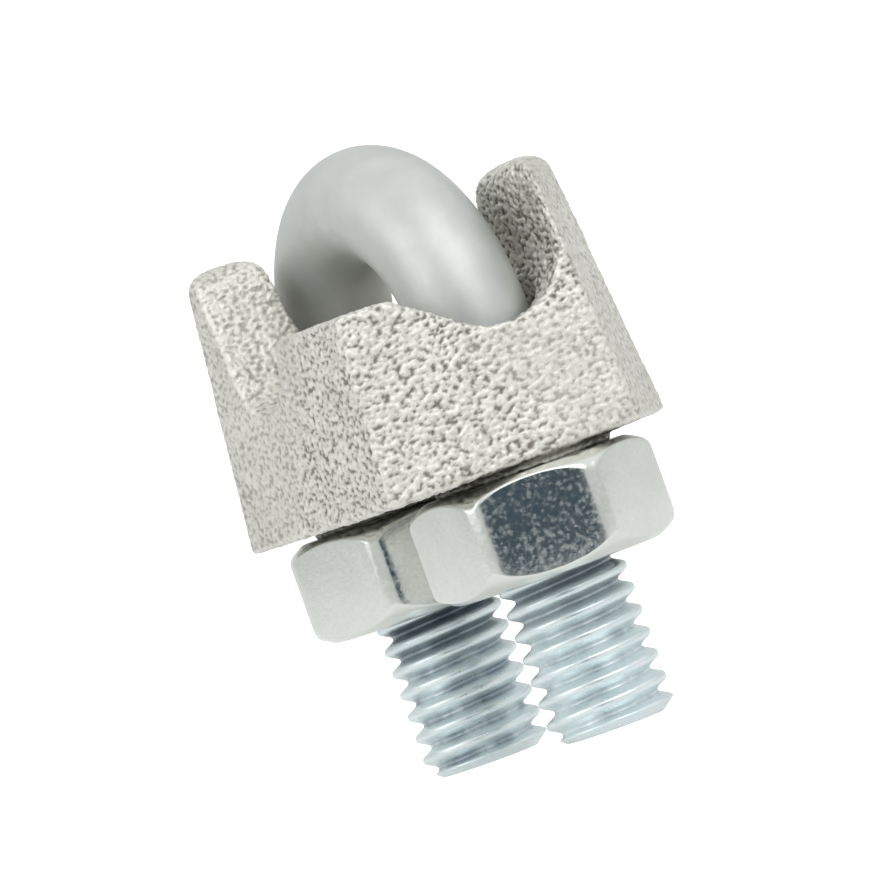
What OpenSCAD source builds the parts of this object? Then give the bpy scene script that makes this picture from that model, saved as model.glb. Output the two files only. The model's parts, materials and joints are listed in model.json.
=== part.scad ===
// Wire rope clip: a U-bolt, a cast saddle and two hexagon nuts.
// The rope lies along X in the saddle, and Z points up the legs towards the bow.
// The origin is on the axis of the rope seat, halfway along the saddle.
// The saddle has two tall horns on opposite corners and two low shoulders on the others,
// so it looks the same after half a turn about Z.

/* [Thread] */
// Outside diameter of the thread on the legs
thread_d = 3.9; // [3.8:0.05:3.95]
// Pitch of the thread
thread_pitch = 0.7; // [0.65:0.05:0.8]
// Depth of the thread on the legs
thread_depth = 0.38; // [0.34:0.01:0.42]
// Radial gap between the threads of leg and nut
thread_gap = 0.1; // [0.08:0.01:0.12]
// Length of thread on each leg
thread_l = 10.6; // [10:0.1:11]

/* [U-bolt] */
// Diameter of the rod
rod_d = 3.55; // [3.4:0.05:3.6]
// Distance between the axes of the legs
leg_spacing = 9; // [8.8:0.1:9.4]
// Height of the bow's crown above the axis of the rope seat
crown_z = 5.2; // [5:0.1:5.8]
// Depth of the leg ends below the axis of the rope seat
leg_depth = 13.85; // [13.5:0.05:14.5]

/* [Saddle] */
// Length along the rope
saddle_l = 11.3; // [11.1:0.1:11.6]
// Width across the noses, which carry the legs
saddle_w = 15.1; // [15:0.1:15.6]
// Distance from the rope's axis to the corner of the underside beside each horn
horn_corner_y = 3.5; // [3.3:0.1:3.8]
// Distance from the rope's axis to the corner of the underside beside each shoulder
shoulder_corner_y = 6.9; // [6.8:0.1:7.2]
// Distance along the rope from the middle to the corner of each nose
nose_corner_x = 2.8; // [2.5:0.1:3]
// Radius of the upright edges beside the horns
horn_edge_r = 0.5; // [0.3:0.1:0.8]
// Radius of the upright edges beside the shoulders
shoulder_edge_r = 0.35; // [0.2:0.05:0.5]
// Radius of the upright edges of the noses
nose_edge_r = 1.2; // [0.8:0.1:1.6]
// Depth of the underside below the axis of the rope seat
base_depth = 5.45; // [5.35:0.05:5.6]
// Draft of the outer faces, in degrees
draft = 5.3; // [4.5:0.1:5.6]
// Diameter of the hole for each leg
hole_d = 4.3; // [4.2:0.05:4.4]
// Height of the bearing pad round each hole
pad_h = 0.25; // [0.2:0.05:0.35]
// Radius of the bearing pad round each hole
pad_r = 2.75; // [2.65:0.05:2.8]

/* [Rope seat] */
// Radius of the rope seat
seat_r = 1.6; // [1.5:0.05:1.65]
// Lean of the trough's sides above the seat, in degrees from upright
trough_lean = 19; // [15:1:21]

/* [Horns and shoulders] */
// Height of the horns above the axis of the rope seat
horn_z = 3.15; // [3:0.05:3.3]
// Height of the shoulders above the axis of the rope seat
shoulder_z = 0.4; // [0.3:0.05:0.6]
// Depth of the ledge beside each leg below the axis of the rope seat
ledge_depth = 1.35; // [1.3:0.05:1.4]
// Distance from the middle of the saddle to the face of each horn
horn_x = 2.45; // [2.4:0.05:2.6]
// Radius of the hollow where the ledge rises to the horn
hollow_r = 2.2; // [1.8:0.1:2.3]
// Slope of each shoulder's side that faces the bow, in degrees
shoulder_slope = 34; // [32:1:38]
// How far past the middle of the saddle that slope ends
slope_foot = 0.75; // [0.6:0.05:0.9]
// Radius of the hollow at the foot of that slope
slope_r = 1.5; // [1:0.1:1.8]
// Rounding of the horns' top edges that face the bow
brow_r = 0.65; // [0.5:0.05:0.7]
// Rounding of the horns' outer top edges
tip_r = 0.7; // [0.5:0.05:0.75]
// Rounding of the horns' top edges that face the rope
horn_round = 1; // [0.6:0.05:1.1]
// Rounding of the shoulders' top edges that face the rope
shoulder_round = 0.5; // [0.3:0.05:0.6]

/* [Nuts] */
// Width across the flats
nut_af = 6.9; // [6.8:0.05:7]
// Width across the corners, which are rounded off
nut_e = 7.66; // [7.6:0.02:7.8]
// Height of a nut
nut_h = 3.2; // [2.9:0.1:3.2]
// Angle of the corner chamfers, in degrees
nut_chamfer = 30; // [25:1:32]
// How far each nut is turned at rest, front then rear, in degrees
nut_turns = [-25.7, -12.3];

/* [Hidden] */
$fn = 64;
far = 20;                                      // longer than anything it has to cut through
eps = 0.01;                                    // rounding that keeps a corner all but sharp
leg_y = leg_spacing / 2;
leg_z = -leg_depth;
bow_z = crown_z - rod_d / 2 - leg_y;           // centre of the bow's half circle
base_z = -base_depth;
nut_top = base_z - pad_h;                      // the nuts bear on the pads
nut_z = nut_top - nut_h;
foot_horn = [-saddle_l / 2, horn_corner_y];    // corners of the underside, in order round it
foot_shoulder = [-saddle_l / 2, -shoulder_corner_y];
foot_nose = [nose_corner_x, -saddle_w / 2];

columns = 24;                                  // upright columns of points round a thread
crest_share = 0.26;                            // width of a thread's crest, as a share of the pitch
root_share = 0.16;                             // width of its root, as a share of the pitch
thread_r = thread_d / 2;
leg_bevel = 0.4;                               // length of the taper at each end of a leg's thread
thread_overlap = 0.2;                          // how far the thread's end runs into the rod
tap_bevel = 0.35;                              // length of the countersink in a nut
tap_flare = 0.12;                              // how much wider than the thread it is
tap_overshoot = 0.05;                          // how far the cut for the thread stands out of a nut

bearing_share = 0.94;                          // a nut's chamfer starts on this share of its flats
arc_steps = 8;                                 // straight steps in each rounded corner
cut_reach = 1.5;                               // size of a rounding's cut, as a multiple of its radius

// ---------- Thread ----------

// Radius of a thread at u, the height above the middle of its root as a share of the pitch.
function thread_radius(u, r_root, r_crest) =
    let (from_root = 0.5 - abs(u - floor(u) - 0.5),
         flank = 0.5 - crest_share / 2 - root_share / 2,
         rise = (from_root - root_share / 2) / flank)
    r_root + (r_crest - r_root) * max(0, min(1, rise));

// A right-hand threaded solid on the Z axis, from z0 to z1. Its radius is r_end at both ends,
// and it tapers to the thread's over the bevel. All of these lie on the same helix.
module threaded(z0, z1, r_root, r_crest, r_end, bevel) {
    bends = [-root_share / 2, root_share / 2, 0.5 - crest_share / 2, 0.5 + crest_share / 2];
    first = floor((z0 - leg_z) / thread_pitch) - 1;
    last = ceil((z1 - leg_z) / thread_pitch);
    lows = [for (k = [0:columns - 1]) [for (n = [first:last], b = bends)
        leg_z + (n + k / columns + b) * thread_pitch]];
    inner = len(lows[0]);
    rows = inner + 2;
    function clip(z) = max(z0 + bevel, min(z1 - bevel, z));
    function spot(k, r, z) = [r * cos(360 * k / columns), r * sin(360 * k / columns), z];
    function grip(k, z) =
        spot(k, thread_radius((z - leg_z) / thread_pitch - k / columns, r_root, r_crest), z);
    points = concat(
        [for (k = [0:columns - 1], row = [0:rows - 1])
            row == 0 ? spot(k, r_end, z0)
            : row == rows - 1 ? spot(k, r_end, z1)
            : grip(k, clip(lows[k][row - 1]))],
        [[0, 0, z0], [0, 0, z1]]);
    // The helix climbs one pitch per turn, so the last column meets the first one pitch further up.
    function at(k, row) =
        k < columns || row == 0 || row == rows - 1
        ? (k % columns) * rows + row
        : min(rows - 2, row + len(bends));
    bottom = columns * rows;
    sides = [for (k = [0:columns - 1], row = [0:rows - 2])
        [[at(k, row), at(k, row + 1), at(k + 1, row + 1)],
         [at(k, row), at(k + 1, row + 1), at(k + 1, row)]]];
    polyhedron(
        points,
        concat(
            [for (pair = sides) pair[0]],
            [for (pair = sides) pair[1]],
            [for (k = [0:columns - 1]) [bottom, at(k, 0), at(k + 1, 0)]],
            [for (k = [0:columns - 1]) [bottom + 1, at(k + 1, rows - 1), at(k, rows - 1)]]),
        convexity = 10);
}

// ---------- U-bolt ----------

module leg() {
    r_root = thread_r - thread_depth;
    threaded(leg_z, leg_z + thread_l, r_root, thread_r, r_root, leg_bevel);
    rod_z = leg_z + thread_l - thread_overlap;
    translate([0, 0, rod_z])
        cylinder(d = rod_d, h = bow_z - rod_z);
}

module u_bolt() {
    color("silver") {
        for (side = [-1, 1])
            translate([0, side * leg_y, 0])
                leg();
        translate([0, 0, bow_z])
            rotate([90, 0, 90])
                rotate_extrude(angle = 180)
                    translate([leg_y, 0])
                        circle(d = rod_d);
    }
}

// ---------- Nuts ----------

// The turned blank that a nut's hexagon is cut down to.
module nut_blank() {
    bearing_r = nut_af / 2 * bearing_share;
    outer_r = nut_e / 2;
    drop = (outer_r - bearing_r) * tan(nut_chamfer);
    rotate_extrude()
        polygon([
            [0, 0], [bearing_r, 0], [outer_r, drop],
            [outer_r, nut_h - drop], [bearing_r, nut_h], [0, nut_h]]);
}

module nut(side, turn) {
    r_root = thread_r - thread_depth + thread_gap;
    r_crest = thread_r + thread_gap;
    translate([0, side * leg_y, 0])
        difference() {
            translate([0, 0, nut_z])
                intersection() {
                    rotate([0, 0, turn])
                        cylinder(d = nut_af / cos(30), h = nut_h, $fn = 6);
                    nut_blank();
                }
            threaded(
                nut_z - tap_overshoot, nut_top + tap_overshoot,
                r_root, r_crest, r_crest + tap_flare, tap_bevel);
        }
}

module nut_front() {
    color("gainsboro")
        nut(-1, nut_turns[0]);
}

module nut_rear() {
    color("gainsboro")
        nut(1, nut_turns[1]);
}

// ---------- Saddle ----------

// Points of a closed outline with its corners rounded. Each corner is [x, y, radius].
function rounded(corners) =
    [for (i = [0:len(corners) - 1])
        let (here = corners[i],
             before = corners[(i + len(corners) - 1) % len(corners)],
             after = corners[(i + 1) % len(corners)],
             p = [here[0], here[1]],
             u = unit([before[0], before[1]] - p),
             v = unit([after[0], after[1]] - p),
             half = acos(u * v) / 2,
             centre = p + unit(u + v) * here[2] / sin(half),
             from = p + u * here[2] / tan(half) - centre,
             turn = cross(from, p + v * here[2] / tan(half) - centre) < 0 ? -1 : 1,
             sweep = turn * (180 - 2 * half))
        for (s = [0:arc_steps])
            centre + spun(from, sweep * s / arc_steps)];

function unit(v) = v / norm(v);

function spun(v, a) = [v[0] * cos(a) - v[1] * sin(a), v[0] * sin(a) + v[1] * cos(a)];

// The outline of the underside. The second half of its corners is the first turned half round.
module outline() {
    half = [concat(foot_horn, horn_edge_r), concat(foot_shoulder, shoulder_edge_r),
        concat(foot_nose, nose_edge_r)];
    polygon(rounded(concat(half, [for (c = half) [-c[0], -c[1], c[2]]])));
}

// The space between the upright face that stands on the line from a to b and the face opposite.
// Both lean inwards by the draft, and their top edges are rounded.
module drafted(a, b) {
    along = unit(b - a);
    reach = cross(a, along);
    top = reach - (horn_z - base_z) * tan(draft);
    rotate([0, 0, atan2(along[1], along[0]) - 90])
        rotate([90, 0, 0])
            translate([0, 0, -far])
                linear_extrude(2 * far)
                    polygon(rounded([
                        [-reach, base_z, eps], [reach, base_z, eps],
                        [top, horn_z, tip_r], [-top, horn_z, tip_r]]));
}

// The gap that the bow drops into, on the side of the rope where y is below 0. It has the wall
// of the horn on one side and the slope of the shoulder on the other.
module half_gap() {
    rotate([90, 0, 0])
        linear_extrude(far)
            polygon(rounded([
                [-slope_foot, -ledge_depth, slope_r], [horn_x, -ledge_depth, hollow_r],
                [horn_x, far, eps],
                [-slope_foot - (far + ledge_depth) / tan(shoulder_slope), far, eps]]));
}

// Half the width of the trough at height z.
function trough_half(z) =
    seat_r * cos(trough_lean) + (z + seat_r * sin(trough_lean)) * tan(trough_lean);

// The rope seat, and the trough above it.
module trough() {
    foot_z = -seat_r * sin(trough_lean);
    foot = trough_half(foot_z);
    top = trough_half(far);
    rotate([0, 90, 0])
        cylinder(r = seat_r, h = 2 * far, center = true);
    rotate([90, 0, 90])
        translate([0, 0, -far])
            linear_extrude(2 * far)
                polygon([[-foot, foot_z], [foot, foot_z], [top, far], [-top, far]]);
}

// Cuts one quarter of the saddle, x and y above 0, down to height z, and rounds the edge that
// faces the rope to r.
module crop(z, r) {
    back = r / tan((90 + trough_lean) / 2);
    translate([0, 0, z])
        cube(far);
    rotate([90, 0, 90])
        translate([trough_half(z) + back, z - r, 0])
            linear_extrude(far)
                difference() {
                    polygon(cut_reach * [
                        [0, 0], [0, r], [-back, r],
                        [-r * cos(trough_lean), r * sin(trough_lean)]]);
                    circle(r = r);
                }
}

// Rounds the edge of a horn that faces the bow.
module brow() {
    rotate([90, 0, 0])
        translate([0, horn_z - brow_r, 0])
            linear_extrude(far)
                difference() {
                    square([horn_x + brow_r, far]);
                    translate([horn_x + brow_r, 0])
                        circle(r = brow_r);
                }
}

module saddle() {
    color("lightgray")
        difference() {
            union() {
                intersection() {
                    translate([0, 0, base_z])
                        linear_extrude(horn_z - base_z)
                            outline();
                    drafted(foot_horn, foot_shoulder);
                    drafted(foot_shoulder, foot_nose);
                    drafted(foot_nose, -foot_horn);
                }
                for (side = [-1, 1])
                    translate([0, side * leg_y, base_z - pad_h])
                        cylinder(r = pad_r, h = 2 * pad_h);
            }
            for (turn = [0, 180])
                rotate([0, 0, turn]) {
                    // hole for a leg
                    translate([0, leg_y, base_z - far])
                        cylinder(d = hole_d, h = 2 * far);
                    // shoulder, and horn on the other side of the rope
                    crop(shoulder_z, shoulder_round);
                    mirror([0, 1, 0])
                        crop(horn_z, horn_round);
                    brow();
                    half_gap();
                }
            trough();
        }
}

saddle();
u_bolt();
nut_front();
nut_rear();
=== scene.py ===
"""Looks of the wire rope clip: a cast saddle, a zinc-plated U-bolt and two hexagon nuts.

Shapes are worked out in millimetres in the CAD frame and scaled to metres at the end.
"""
import json
import math

import bpy
import numpy as np
from mathutils import Matrix, Vector, noise


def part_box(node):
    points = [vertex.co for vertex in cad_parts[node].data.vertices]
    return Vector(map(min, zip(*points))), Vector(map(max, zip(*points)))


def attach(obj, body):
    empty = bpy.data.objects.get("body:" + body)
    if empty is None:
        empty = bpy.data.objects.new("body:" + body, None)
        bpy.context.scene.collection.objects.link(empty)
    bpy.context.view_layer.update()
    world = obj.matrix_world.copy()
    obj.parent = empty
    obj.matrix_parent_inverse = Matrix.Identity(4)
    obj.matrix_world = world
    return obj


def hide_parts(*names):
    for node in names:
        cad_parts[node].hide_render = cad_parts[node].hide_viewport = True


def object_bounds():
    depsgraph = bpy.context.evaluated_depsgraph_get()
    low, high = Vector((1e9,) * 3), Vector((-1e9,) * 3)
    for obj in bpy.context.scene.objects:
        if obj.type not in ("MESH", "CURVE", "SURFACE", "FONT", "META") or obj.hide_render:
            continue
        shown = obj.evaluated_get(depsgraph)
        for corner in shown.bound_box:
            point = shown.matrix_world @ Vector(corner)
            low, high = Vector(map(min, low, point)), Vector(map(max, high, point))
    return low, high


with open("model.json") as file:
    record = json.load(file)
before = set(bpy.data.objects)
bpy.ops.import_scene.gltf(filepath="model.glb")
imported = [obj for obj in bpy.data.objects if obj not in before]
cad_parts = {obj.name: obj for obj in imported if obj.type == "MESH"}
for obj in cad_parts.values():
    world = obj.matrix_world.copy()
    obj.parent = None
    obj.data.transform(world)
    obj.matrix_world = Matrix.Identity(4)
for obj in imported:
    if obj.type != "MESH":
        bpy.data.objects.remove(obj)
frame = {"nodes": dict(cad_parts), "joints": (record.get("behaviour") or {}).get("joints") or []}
CAD_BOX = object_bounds()
MM = 0.001


# ---------- sizes that come from the frame ----------

def box_mm(node):
    """A CAD node's lowest and highest corners in millimetres."""
    return [np.array(corner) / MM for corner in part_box(node)]


BOLT_LOW, BOLT_HIGH = box_mm("u_bolt")
NUT_LOW, NUT_HIGH = box_mm("nut_front")
NUT_JOINT = next(j for j in frame["joints"] if j["name"] == "front_nut_turn")
LEG_Y = -NUT_JOINT["pos_m"][1] / MM
LEG_Z = BOLT_LOW[2]                             # free ends of the legs
THREAD_R = BOLT_HIGH[0]
NUT_Z = NUT_LOW[2]
NUT_H = NUT_HIGH[2] - NUT_LOW[2]


# ---------- sizes that repeat the CAD's ----------

THREAD_DEPTH = 0.38
THREAD_GAP = 0.1                                # between the threads of leg and nut, on the radius
PITCH = 0.7
CREST_SHARE, ROOT_SHARE = 0.26, 0.16            # their widths, as shares of the pitch
THREAD_L = 10.6
THREAD_TOP = LEG_Z + THREAD_L
ROD_R = 1.775
BOW_Z = BOLT_HIGH[2] - ROD_R - LEG_Y            # centre of the bow's half circle
NUT_AF = 6.9
NUT_E = 7.66                                    # across the corners
NUT_TURNS = {"nut_front": -25.7, "nut_rear": -12.3}
HORN_X = 2.45                                   # walls of the gap
LEDGE_Z = -1.35                                 # floor of the gap
BASE_Z = -5.45                                  # underside of the saddle, without its pads
HORN_FACE = np.array([0.818, -0.5755, 0])       # outward normal of the face beside the front horn


# ---------- mesh helpers ----------

def coordinates(mesh):
    co = np.zeros(len(mesh.vertices) * 3, np.float64)
    mesh.vertices.foreach_get("co", co)
    return co.reshape(-1, 3)


def signed_volume(mesh):
    mesh.calc_loop_triangles()
    tris = np.zeros(len(mesh.loop_triangles) * 3, np.int32)
    mesh.loop_triangles.foreach_get("vertices", tris)
    v = coordinates(mesh)[tris.reshape(-1, 3)]
    return float(np.einsum("ij,ij->i", v[:, 0], np.cross(v[:, 1], v[:, 2])).sum() / 6)


def grid_mesh(name, rings, close_rows=False):
    """A closed mesh from rings of points, an array of rows by columns by 3 in millimetres.
    The first and last rings are joined to each other if close_rows is set, or else capped."""
    rows, columns = rings.shape[:2]
    last = rows if close_rows else rows - 1
    r = np.repeat(np.arange(last), columns)
    c = np.tile(np.arange(columns), last)
    up, across = (r + 1) % rows, (c + 1) % columns
    faces = np.stack([r * columns + c, r * columns + across,
                      up * columns + across, up * columns + c], 1).tolist()
    points = rings.reshape(-1, 3).tolist()
    if not close_rows:
        for row, flip in ((0, True), (rows - 1, False)):
            points.append(rings[row].mean(0).tolist())
            for k in range(columns):
                a, b = row * columns + k, row * columns + (k + 1) % columns
                faces.append([b, a, len(points) - 1] if flip else [a, b, len(points) - 1])
    mesh = bpy.data.meshes.new(name)
    mesh.from_pydata([[x * MM for x in p] for p in points], [], faces)
    mesh.validate()
    if signed_volume(mesh) < 0:
        mesh.flip_normals()
    mesh.shade_smooth()
    mesh.update()
    return mesh


def point_values(mesh, name, values):
    """Stores one number per vertex, for the materials."""
    layer = mesh.attributes.new(name, "FLOAT", "POINT")
    layer.data.foreach_set("value", np.asarray(values, np.float32))


def add_piece(name, mesh, body, node, material):
    piece = bpy.data.objects.new(name, mesh)
    bpy.context.scene.collection.objects.link(piece)
    mesh.materials.clear()
    mesh.materials.append(material)
    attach(piece, body)
    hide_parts(node)


def smooth_step(a, b, x):
    t = np.clip((x - a) / (b - a), 0, 1)
    return t * t * (3 - 2 * t)


# ---------- thread ----------

THREAD_STEP = PITCH / 16                        # between the rings of points along a thread
THREAD_SOFTNESS = 0.2                           # rounding of its corners, as a share of a flank


def soft_ramp(t, w):
    """0 below t = 0 and 1 above t = 1, with both corners rounded over the width w."""
    low = np.where(t < -w, 0, np.where(t > w, t, (t + w) ** 2 / (4 * w)))
    high = 1 - t
    top = np.where(high < -w, 0, np.where(high > w, high, (high + w) ** 2 / (4 * w)))
    return np.where(t < 0.5, low, 1 - top)


def thread_rise(angle, z):
    """0 at the thread's root and 1 on its crest, on the helix that the CAD's threads share."""
    u = (z - LEG_Z) / PITCH - angle / (2 * math.pi)
    from_root = 0.5 - np.abs(u - np.floor(u) - 0.5)
    flank = 0.5 - CREST_SHARE / 2 - ROOT_SHARE / 2
    return soft_ramp((from_root - ROOT_SHARE / 2) / flank, THREAD_SOFTNESS)


# ---------- U-bolt ----------

def build_u_bolt():
    """One tube from leg end to leg end, with its rings closest together along the threads."""
    columns, bow_rings, plain_rings = 96, 95, 14
    taper, taper_depth = 0.32, 0.42             # height and depth of the taper at a leg's end
    end_share = 0.55                            # radius of an end face's inner ring, of the outer
    fade_from, fade_to = THREAD_TOP - 0.5, THREAD_TOP + 0.1     # where the thread runs out
    oil_below_nut, oil_below_top = 2.4, 1       # heights over which the painted shade under the nuts fades
    soiled = {-1: 0.8, 1: 1.0}                  # the rear leg is the darker one
    phi = np.linspace(0, 2 * np.pi, columns, endpoint=False)
    z = np.concatenate([
        [LEG_Z, LEG_Z, LEG_Z + 0.05],
        np.arange(LEG_Z + 0.1, THREAD_TOP + 0.3, THREAD_STEP),
        np.linspace(THREAD_TOP + 0.4, BOW_Z, plain_rings)])
    rings = []
    values = {"root": [], "thread": [], "oil": []}

    def add_ring(ring, **given):
        rings.append(ring)
        for name, value in given.items():
            values[name].append(np.broadcast_to(value, columns))

    def leg(side, order):
        for k in order:
            level = np.full(columns, z[k])
            rise = thread_rise(phi * side, level)
            fade = smooth_step(fade_from, fade_to, z[k])
            r = (THREAD_R - THREAD_DEPTH * (1 - rise)) * (1 - fade) + ROD_R * fade
            r = np.minimum(r, THREAD_R - taper_depth + (z[k] - LEG_Z) * taper_depth / taper)
            if k == 0:
                r = r * end_share
            # painted shade on the thread, from a little below its nut up into it
            oil = smooth_step(NUT_Z - oil_below_nut, NUT_Z, z[k]) * (
                1 - smooth_step(THREAD_TOP - oil_below_top, THREAD_TOP, z[k]))
            add_ring(np.stack([r * np.cos(phi), side * LEG_Y + side * r * np.sin(phi), level], 1),
                     root=soiled[side] * (1 - rise) * (1 - fade), thread=1 - fade,
                     oil=soiled[side] * oil)

    def bow():
        for a in np.linspace(0, np.pi, bow_rings + 2)[1:-1]:
            out = np.array([0, -math.cos(a), math.sin(a)])
            centre = np.array([0, 0, BOW_Z]) + LEG_Y * out
            add_ring(centre + ROD_R * (np.cos(phi)[:, None] * np.array([1.0, 0, 0])
                                       + np.sin(phi)[:, None] * out), root=0, thread=0, oil=0)

    leg(-1, range(len(z)))
    bow()
    leg(1, reversed(range(len(z))))
    mesh = grid_mesh("u_bolt_rod", np.array(rings))
    for name, at_ends in (("root", 0), ("thread", 1), ("oil", 0)):
        point_values(mesh, name, np.concatenate([*values[name], [at_ends, at_ends]]))
    return mesh


# ---------- nuts ----------

def rounded_profile(points, radius, steps):
    """A polyline with its inner corners rounded. points is corners by columns by 2."""
    longest = 0.45                              # a rounding's reach at most, of the shorter side
    out = [points[0]]
    for i in range(1, len(points) - 1):
        p = points[i]
        before, after = points[i - 1] - p, points[i + 1] - p
        la = np.linalg.norm(before, axis=1, keepdims=True)
        lb = np.linalg.norm(after, axis=1, keepdims=True)
        reach = np.minimum(radius, longest * np.minimum(la, lb))
        a, b = p + before / la * reach, p + after / lb * reach
        for s in np.linspace(0, 1, steps):
            out.append((1 - s) ** 2 * a + 2 * s * (1 - s) * p + s * s * b)
    out.append(points[-1])
    return out


def build_nut(node, side):
    columns, edge_steps = 360, 6
    flat_fall = 0.08                            # how far a flat falls away at its corners
    blend = 0.015                               # softness where the flats meet the corners' round
    chamfer_from = NUT_AF / 2 * 0.93            # radius at which the chamfers start
    chamfer_slope = math.tan(math.radians(30))
    hole, sink_slope = THREAD_R + THREAD_GAP + 0.1, 1.4         # of the countersinks
    edge_r, corner_extra = 0.06, 0.3            # rounding of the edges, and more at the corners
    theta = np.linspace(0, 2 * np.pi, columns, endpoint=False)
    ones = np.ones(columns)
    # flats lie halfway between the corners
    half_flat = math.pi / 6
    to_flat = (theta - math.radians(NUT_TURNS[node])) % (2 * half_flat) - half_flat
    across = np.tan(to_flat) / math.tan(half_flat)
    flat_r = (NUT_AF / 2 - flat_fall * across ** 6) / np.cos(to_flat)
    outer = -blend * np.log(np.exp(-flat_r / blend) + np.exp(-NUT_E / 2 / blend))
    drop = (outer - chamfer_from) * chamfer_slope

    def at(r, z):
        return np.stack([r * ones, z * ones], 1)

    spine = [at(hole, 0), at(chamfer_from, 0), at(outer, drop),
             at(outer, NUT_H - drop), at(chamfer_from, NUT_H), at(hole, NUT_H)]
    profile = rounded_profile(spine, (edge_r + corner_extra * across ** 4)[:, None], edge_steps)
    # back down the inside: a countersink, the thread, and a countersink again
    for z in np.arange(NUT_H - 0.02, 0.0, -THREAD_STEP):
        rise = thread_rise(theta, NUT_Z + z * ones)
        r = THREAD_R + THREAD_GAP - THREAD_DEPTH * (1 - rise)
        profile.append(at(np.maximum(r, hole - min(z, NUT_H - z) * sink_slope), z))
    rings = [np.stack([r * np.cos(theta), side * LEG_Y + r * np.sin(theta), NUT_Z + z], 1)
             for r, z in (row.T for row in profile)]
    return grid_mesh(node + "_body", np.array(rings), close_rows=True)


# ---------- saddle ----------

def bulge(mesh, points, normals):
    """How sharply the surface curves outwards at each point, in turns of the normal per mm."""
    ends = np.zeros(len(mesh.edges) * 2, np.int32)
    mesh.edges.foreach_get("vertices", ends)
    a, b = ends.reshape(-1, 2).T
    step = points[b] - points[a]
    bend = np.einsum("ij,ij->i", normals[b] - normals[a], step) / np.einsum("ij,ij->i", step, step)
    total = np.bincount(a, bend, len(points)) + np.bincount(b, bend, len(points))
    return total / (np.bincount(a, minlength=len(points)) + np.bincount(b, minlength=len(points)))


def noise_at(points, scale, shift):
    """Smooth noise between -1 and 1. scale is its lattice's cells per millimetre."""
    moved = (points * scale + shift).tolist()
    return np.array([noise.noise(p) for p in moved])


def cast_skin(points, edge):
    """How far the casting's skin lies above its nominal surface, how much painted shade each
    point gets in a pit, and how much painted highlight on a ridge."""
    grain_height, lump_height = 0.05, 0.03
    worn_loss, inside_gain, edge_loss = 0.4, 0.7, 0.35          # of the grain
    lying = points * np.array([1.0, 1.0, 1.4])  # pits are a little longer across than upright
    grain = noise_at(lying, 5.6, 3.1) + 0.5 * noise_at(lying, 10.4, 17.3)
    lumps = noise_at(points, 0.8, 29.0)
    # the faces beside the horns are worn smoother, and more of them towards the top
    worn_from = 4.6 - 0.45 * (points[:, 2] - BASE_Z)
    worn = smooth_step(-0.6, 0.6, np.abs(points @ HORN_FACE) - worn_from)
    # tumbling smooths the outside, but doesn't reach the walls of the gap
    inside = (1 - smooth_step(HORN_X, HORN_X + 0.3, np.abs(points[:, 0]))) * smooth_step(
        LEDGE_Z - 0.3, LEDGE_Z + 0.1, points[:, 2])
    strength = (1 - worn_loss * worn + inside_gain * inside) * (1 - edge_loss * edge)
    # pits get painted shade and ridges a painted highlight, more where the grain is stronger, as on
    # the walls of the gap
    pit_shade = np.clip(smooth_step(0.02, 0.55, -grain) * strength, 0, 1)
    ridge_highlight = np.clip(smooth_step(0.1, 0.6, grain) * strength, 0, 1)
    return grain_height * grain * strength + lump_height * lumps, pit_shade, ridge_highlight


def pad_shade_at(points):
    """Painted shade round the pads, where the saddle meets them: 1 where it is darkest, in the
    corner above them.
    """
    on_pad = 0.35                               # how dark the painted shade is on the pads' lower edges
    shade_fades_from, shade_gone_from = 2.8, 4.2            # distances from a leg's axis
    from_leg = np.hypot(points[:, 0], np.abs(points[:, 1]) - LEG_Y)
    low = 1 - smooth_step(BASE_Z - 0.02, BASE_Z + 0.12, points[:, 2])
    corner = on_pad + (1 - on_pad) * smooth_step(BASE_Z - 0.2, BASE_Z - 0.08, points[:, 2])
    return low * corner * (1 - smooth_step(shade_fades_from, shade_gone_from, from_leg))


def build_saddle():
    """The CAD's saddle, remeshed finely and relaxed until its edges are as round as a casting's,
    then creased and pitted like one."""
    weld_reach, voxel, relax_rounds = 0.0005, 0.05, 32
    edge_from, edge_full = 0.8, 3.0             # bulges where an edge starts and is complete
    mesh = frame["nodes"]["saddle"].data.copy()
    mesh.transform(Matrix.Scale(1 / MM, 4))
    work = bpy.data.objects.new("saddle_work", mesh)
    bpy.context.scene.collection.objects.link(work)
    work.modifiers.new("weld", "WELD").merge_threshold = weld_reach
    remesh = work.modifiers.new("remesh", "REMESH")
    remesh.mode = "VOXEL"
    remesh.voxel_size = voxel
    relax = work.modifiers.new("relax", "SMOOTH")
    relax.factor = 0.5
    relax.iterations = relax_rounds
    bpy.context.view_layer.update()
    graph = bpy.context.evaluated_depsgraph_get()
    made = bpy.data.meshes.new_from_object(work.evaluated_get(graph))
    made.name = "saddle_casting"
    points = coordinates(made)
    normals = np.zeros(len(points) * 3, np.float64)
    made.vertex_normals.foreach_get("vector", normals)
    normals = normals.reshape(-1, 3)
    edge = smooth_step(edge_from, edge_full, bulge(made, points, normals))
    lift, pit_shade, ridge_highlight = cast_skin(points, edge)
    made.vertices.foreach_set("co", ((points + normals * lift[:, None]) * MM).ravel())
    made.update()
    for name, value in (("pit_shade", pit_shade), ("edge", edge), ("ridge_highlight", ridge_highlight),
                        ("darkening", pad_shade_at(points))):
        point_values(made, name, value)
    bpy.data.objects.remove(work)
    made.shade_smooth()
    return made


# ---------- materials ----------

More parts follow.
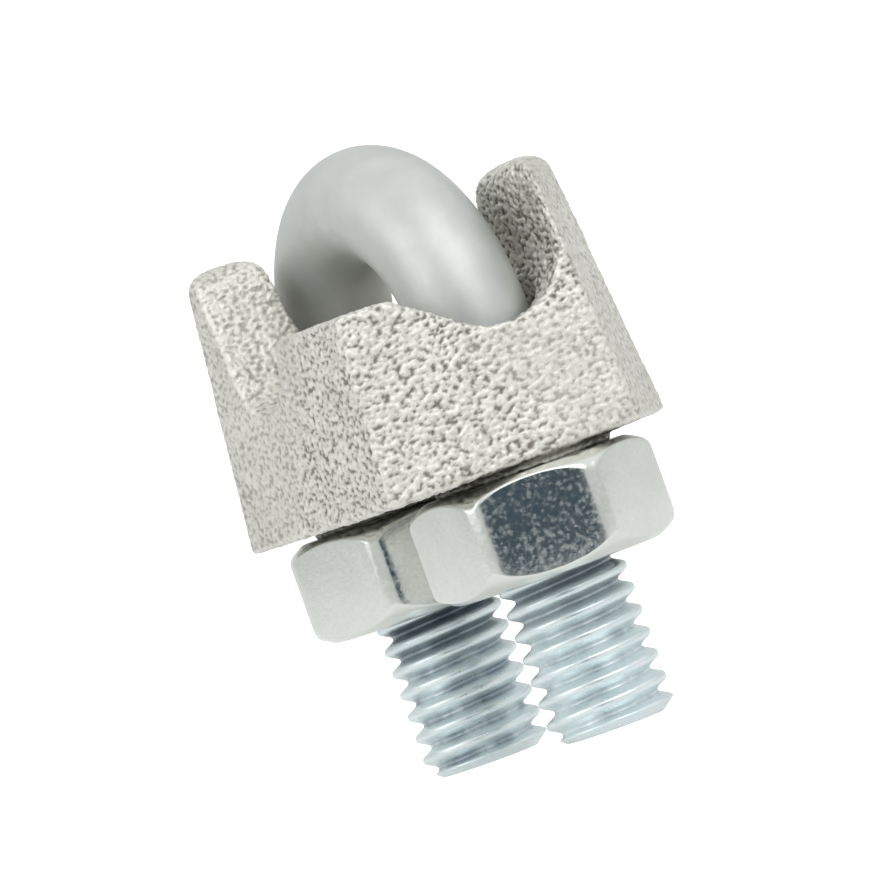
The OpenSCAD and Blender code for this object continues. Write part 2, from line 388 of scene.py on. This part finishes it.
class Nodes:
    """Short calls for building a node material. Scales are per millimetre."""

    def __init__(self, name):
        self.material = bpy.data.materials.new(name)
        self.material.use_nodes = True
        self.tree = self.material.node_tree
        self.bsdf = self.tree.nodes["Principled BSDF"]
        # the piece's own coordinates, in millimetres
        coords = self.add("ShaderNodeTexCoord")
        scale = self.add("ShaderNodeVectorMath", i0=coords.outputs["Object"])
        scale.operation = "SCALE"
        scale.inputs["Scale"].default_value = 1 / MM
        self.place = scale.outputs[0]

    def add(self, kind, **inputs):
        """A new node. Its inputs are given by name, or by place as i0, i1 and so on."""
        node = self.tree.nodes.new(kind)
        for key, value in inputs.items():
            self.put(node.inputs[int(key[1:]) if key[1:].isdigit() else key], value)
        return node

    def put(self, socket, value):
        if isinstance(value, bpy.types.NodeSocket):
            self.tree.links.new(value, socket)
        else:
            socket.default_value = value

    def noise(self, scale, detail, roughness=0.55):
        return self.add("ShaderNodeTexNoise", Scale=scale, Detail=detail, Roughness=roughness,
                        Vector=self.place).outputs["Fac"]

    def grey(self, value, low, high, out_low=0.0, out_high=1.0):
        """Maps low to high onto out_low to out_high, and stops at both."""
        node = self.add("ShaderNodeMapRange", i0=value, i1=low, i2=high, i3=out_low, i4=out_high)
        return node.outputs[0]

    def mix(self, amount, a, b):
        node = self.tree.nodes.new("ShaderNodeMix")
        node.data_type = "RGBA"
        for place, value in ((0, amount), (6, a), (7, b)):
            self.put(node.inputs[place], (*value, 1) if isinstance(value, tuple) else value)
        return node.outputs[2]

    def times(self, a, b):
        node = self.add("ShaderNodeMath", i0=a, i1=b)
        node.operation = "MULTIPLY"
        return node.outputs[0]

    def bump(self, height, strength, depth):
        """depth is in millimetres."""
        return self.add("ShaderNodeBump", Strength=strength, Distance=depth * MM,
                        Height=height).outputs["Normal"]

    def attribute(self, name):
        node = self.add("ShaderNodeAttribute")
        node.attribute_name = name
        return node.outputs["Fac"]

    def shade(self, **inputs):
        for key, value in inputs.items():
            self.put(self.bsdf.inputs[key.replace("_", " ")], value)
        return self.material


def cast_zinc():
    """Zinc on a rough casting: dull specks, painted shade in pits, painted highlight on ridges,
    edges partly worn and partly a painted highlight.
    """
    cool, warm, speck = (0.71, 0.695, 0.63), (0.80, 0.785, 0.72), (0.30, 0.29, 0.27)
    # the tint on the pits is painted shade, and the one on the ridges a painted highlight
    tints = {"pit_shade": (0.95, (0.20, 0.18, 0.15)), "ridge_highlight": (0.75, (0.95, 0.93, 0.88)),
             # the edges' tint is lighter partly from worn zinc and partly as a painted highlight
             "edge": (0.2, (0.82, 0.80, 0.76)), "darkening": (0.9, (0.10, 0.095, 0.08))}
    n = Nodes("cast_zinc")
    fine = n.noise(14.0, 4.0, 0.65)
    colour = n.mix(n.grey(n.noise(0.5, 3.0, 0.5), 0.35, 0.65), cool, warm)
    colour = n.mix(n.grey(fine, 0.36, 0.5), n.mix(0.25, colour, speck), colour)
    for name, (most, tint) in tints.items():
        # the last tint is painted shade round the pads, where the saddle meets them
        colour = n.mix(n.grey(n.attribute(name), 0.0, 1.0, 0.0, most), colour, tint)
    return n.shade(Base_Color=colour, Metallic=0.7, Roughness=n.grey(fine, 0.3, 0.7, 0.30, 0.46),
                   Normal=n.bump(fine, 0.6, 0.04))


def rod_zinc():
    """Satin on the bow, and brighter and bluer on the thread, which is darker in its roots and has
    painted shade just under the nuts.
    """
    satin = (0.585, 0.60, 0.585), (0.635, 0.65, 0.635)
    plated = (0.74, 0.82, 0.84), (0.82, 0.89, 0.91)
    root_dark_colour, oily = (0.30, 0.36, 0.40), (0.10, 0.13, 0.16)
    n = Nodes("rod_zinc")
    fine = n.noise(7.0, 5.0, 0.6)
    broad = n.grey(n.noise(0.8, 3.0, 0.5), 0.35, 0.65)
    root = n.attribute("root")
    thread = n.attribute("thread")
    colour = n.mix(thread, n.mix(broad, *satin), n.mix(broad, *plated))
    # the thread's roots are darker in colour, more in some places than others
    darkening = n.times(root, n.grey(n.noise(1.2, 3.0), 0.3, 0.65, 0.6, 1.0))
    colour = n.mix(n.grey(darkening, 0.55, 0.95), colour, root_dark_colour)
    # painted shade just under the nuts, strongest in the thread's roots
    oil = n.times(n.attribute("oil"), n.grey(root, 0.1, 0.5, 0.1, 1.0))
    colour = n.mix(n.grey(oil, 0.0, 1.0, 0.0, 0.85), colour, oily)
    rough = n.mix(thread, n.grey(fine, 0.3, 0.7, 0.4, 0.5), n.grey(fine, 0.3, 0.7, 0.25, 0.38))
    return n.shade(Base_Color=colour, Metallic=n.grey(thread, 0.0, 1.0, 0.6, 0.85),
                   Roughness=rough, Normal=n.bump(fine, 0.12, 0.03))


def nut_zinc():
    """Smooth plating with dull specks, which show where a nut mirrors something dark."""
    cool, warm = (0.73, 0.75, 0.71), (0.77, 0.785, 0.75)
    n = Nodes("nut_zinc")
    fine = n.noise(6.0, 6.0, 0.7)
    colour = n.mix(n.grey(n.noise(0.7, 3.0, 0.5), 0.35, 0.65), cool, warm)
    rough = n.grey(n.noise(6.0, 3.0, 0.6), 0.45, 0.62, 0.1, 0.27)
    return n.shade(Base_Color=colour, Metallic=0.95, Roughness=rough,
                   Normal=n.bump(fine, 0.22, 0.03))


def floor_paper():
    """White paper that glows a little for the camera, as under a lightbox, but not for the clip."""
    glow = 0.6
    n = Nodes("floor_paper")
    colour = n.mix(n.grey(n.noise(0.08, 4.0), 0.3, 0.7), (0.88, 0.88, 0.88), (0.90, 0.90, 0.90))
    seen = n.add("ShaderNodeLightPath").outputs["Is Camera Ray"]
    return n.shade(Base_Color=colour, Roughness=0.9, Specular_IOR_Level=0.1,
                   Emission_Color=(1, 1, 1, 1), Emission_Strength=n.grey(seen, 0, 1, 0, glow))


# ---------- the clip ----------

CAST, ROD, NUT = cast_zinc(), rod_zinc(), nut_zinc()
add_piece("saddle_casting", build_saddle(), "saddle", "saddle", CAST)
add_piece("u_bolt_rod", build_u_bolt(), "u_bolt", "u_bolt", ROD)
add_piece("nut_front_body", build_nut("nut_front", -1), "front_nut", "nut_front", NUT)
add_piece("nut_rear_body", build_nut("nut_rear", 1), "rear_nut", "nut_rear", NUT)


# ---------- floor, light and camera ----------

AZIMUTH, ELEVATION, ROLL = -25.7, 0.5, 19.65    # the photograph's view, in degrees


def toward(azimuth, elevation):
    """The direction from the clip to a viewer or lamp at these angles in degrees."""
    a, e = math.radians(azimuth), math.radians(elevation)
    return Vector((math.sin(a) * math.cos(e), -math.cos(a) * math.cos(e), math.sin(e)))


def backdrop():
    """A pale floor that sweeps up behind the clip. It ends close in front of it, so that the
    near nut mirrors the dark patch of the surroundings and not the floor."""
    z = (LEG_Z - 2.4) * MM
    front, back, height, half_width = 0.05, 0.5, 0.9, 1.6
    bend, bend_steps = 0.3, 16
    away, side = -toward(AZIMUTH, 0), toward(AZIMUTH + 90, 0)
    line = [(-front, 0.0), (back, 0.0)]
    for k in range(1, bend_steps + 1):
        a = math.pi / 2 * k / bend_steps
        line.append((back + bend * math.sin(a), bend * (1 - math.cos(a))))
    line.append((back + bend, height))
    points = [away * d + side * w + Vector((0, 0, z + h))
              for d, h in line for w in (-half_width, half_width)]
    faces = [[2 * k, 2 * k + 1, 2 * k + 3, 2 * k + 2] for k in range(len(line) - 1)]
    mesh = bpy.data.meshes.new("backdrop")
    mesh.from_pydata(points, [], faces)
    mesh.shade_smooth()
    mesh.materials.append(floor_paper())
    sheet = bpy.data.objects.new("backdrop", mesh)
    bpy.context.scene.collection.objects.link(sheet)


def soft_light(name, azimuth, elevation, distance, size, power):
    data = bpy.data.lights.new(name, "AREA")
    data.shape = "DISK"
    data.size = size
    data.energy = power
    lamp = bpy.data.objects.new(name, data)
    lamp.location = toward(azimuth, elevation) * distance
    lamp.rotation_euler = lamp.location.to_track_quat("Z", "Y").to_euler()
    bpy.context.scene.collection.objects.link(lamp)


def studio_world():
    """Soft light from all round, dimmer from below, and a dark patch for the near nut to mirror."""
    below, above, strength = (0.50, 0.51, 0.51), (0.88, 0.90, 0.89), 1.1
    dark, white = (0.02, 0.045, 0.07), (1.0, 1.0, 1.0)
    world = bpy.data.worlds.new("studio")
    world.use_nodes = True
    bpy.context.scene.world = world
    tree = world.node_tree
    shade = tree.nodes["Background"]
    coords = tree.nodes.new("ShaderNodeTexCoord")

    def facing(direction, low, high):
        """0 to 1 as the cosine of the angle to the direction goes from low to high."""
        dot = tree.nodes.new("ShaderNodeVectorMath")
        dot.operation = "DOT_PRODUCT"
        dot.inputs[1].default_value = direction
        tree.links.new(coords.outputs["Generated"], dot.inputs[0])
        part = tree.nodes.new("ShaderNodeMapRange")
        part.interpolation_type = "SMOOTHSTEP"
        part.inputs[1].default_value = low
        part.inputs[2].default_value = high
        tree.links.new(dot.outputs["Value"], part.inputs[0])
        return part.outputs[0]

    def blend(amount, a, b):
        node = tree.nodes.new("ShaderNodeMix")
        node.data_type = "RGBA"
        tree.links.new(amount, node.inputs[0])
        for socket, value in ((node.inputs[6], a), (node.inputs[7], b)):
            if isinstance(value, tuple):
                socket.default_value = (*value, 1)
            else:
                tree.links.new(value, socket)
        return node.outputs[2]

    sky = blend(facing((0, 0, 1), -0.3, 0.8), below, above)
    colour = blend(facing(toward(AZIMUTH, ELEVATION), 0.935, 0.965), sky, dark)
    # the camera itself sees plain white wherever the floor ends
    seen = tree.nodes.new("ShaderNodeLightPath").outputs["Is Camera Ray"]
    tree.links.new(blend(seen, colour, white), shade.inputs["Color"])
    shade.inputs["Strength"].default_value = strength


def place_camera():
    """Looks from the photograph's angle, with its roll, and fills the frame with the clip."""
    view_width = 0.027
    low, high = (np.array(c) for c in CAD_BOX)
    centre = Vector(((low + high) / 2).tolist())
    back = toward(AZIMUTH, ELEVATION)
    data = bpy.data.cameras.new("camera")
    data.lens = 420
    data.sensor_width = 36
    data.clip_start = 0.01
    camera = bpy.data.objects.new("camera", data)
    camera.location = centre + back * (view_width * data.lens / data.sensor_width)
    upright = back.to_track_quat("Z", "Y").to_matrix().to_4x4()
    # the clip's own upright leans to the left in the picture
    camera.rotation_euler = (upright @ Matrix.Rotation(math.radians(-ROLL), 4, "Z")).to_euler()
    bpy.context.scene.collection.objects.link(camera)
    bpy.context.scene.camera = camera


backdrop()
soft_light("key", AZIMUTH + 25, 38, distance=0.6, size=0.6, power=0.95)
soft_light("fill", AZIMUTH - 62, 25, distance=0.6, size=0.5, power=0.5)
studio_world()
place_camera()
bpy.context.scene.view_settings.view_transform = "Standard"
